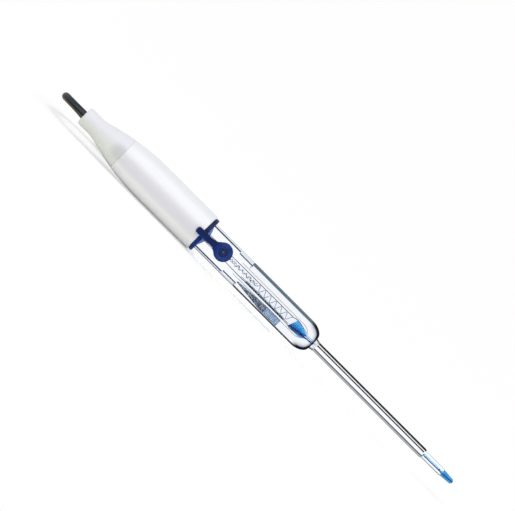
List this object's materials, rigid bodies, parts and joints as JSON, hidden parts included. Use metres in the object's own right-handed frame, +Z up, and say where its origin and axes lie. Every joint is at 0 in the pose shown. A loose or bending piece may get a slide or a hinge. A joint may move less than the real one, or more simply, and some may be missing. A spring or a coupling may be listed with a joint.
{
  "type": "ph electrode",
  "caption": "Slim glass pH electrode with a white cap, visible inner tubes, a blue strap plug over its filling hole, a thin stem and sensing tip, and a coiled lead with a bayonet plug.",
  "frame": {"origin": "on the surface that the electrode lies on, below the middle of its length", "axes": "+X along the electrode towards the sensing tip, -Y towards the filling-hole plug, +Z up"},
  "size_m": [0.2042, 0.0813, 0.0164],
  "materials": {
    "boot": "soft satin",
    "cap": "satin",
    "resin": "cast",
    "clear_glass": "polished",
    "inner_glass": "polished",
    "blue_bung": "matte",
    "reference_dark": "packed powder",
    "reference_pale": "packed powder",
    "silver": "drawn wire",
    "blue_gel": "wet gel",
    "junction": "sintered",
    "membrane": "polished",
    "closure_rubber": "matte",
    "cable_jacket": "smooth",
    "tie": "matte",
    "nickel": "plated",
    "plug_boot": "matte",
    "insulator": "turned",
    "gold_pin": "plated",
    "gasket": "matte"
  },
  "bodies": {
    "electrode": {"cable_boot": "boot", "cap_shell": "cap", "potting_plug": "resin", "filling_sleeve": "clear_glass", "glass_body": "clear_glass", "inner_bung": "blue_bung", "inner_tube": "inner_glass", "middle_tube": "inner_glass", "reference_wedge": "reference_dark", "reference_cartridge": "reference_pale", "lead_coil": "silver", "inner_lead": "silver", "reference_wire": "silver", "gel_column": "blue_gel", "stem_tube": "clear_glass", "junction_bead": "junction", "tip_glass": "clear_glass", "sensing_tip": "membrane", "tip_gel": "blue_gel", "tip_wire": "silver", "closure_ring": "closure_rubber", "cable_lead": "cable_jacket", "cable_coil": "cable_jacket", "cable_tail": "cable_jacket", "coil_tie": "tie", "bnc_boot": "plug_boot", "bnc_ferrule": "nickel", "bnc_body": "nickel", "bnc_insulator": "insulator", "bnc_contact_pin": "gold_pin", "bnc_gasket": "gasket"},
    "strap": {"closure_strap": "closure_rubber"},
    "nut": {"bnc_coupling_nut": "nickel"}
  },
  "joints": [
    {"name": "strap_flex", "type": "hinge", "parent": "electrode", "child": "strap", "pos_m": [-0.03235, -0.008, 0.00868], "axis": [0, 0, -1], "range_deg": [0, 95]},
    {"name": "nut_turn", "type": "hinge", "parent": "electrode", "child": "nut", "pos_m": [-0.046, 0.0179, 0.0073], "axis": [1, 0, 0], "continuous": true}
  ]
}
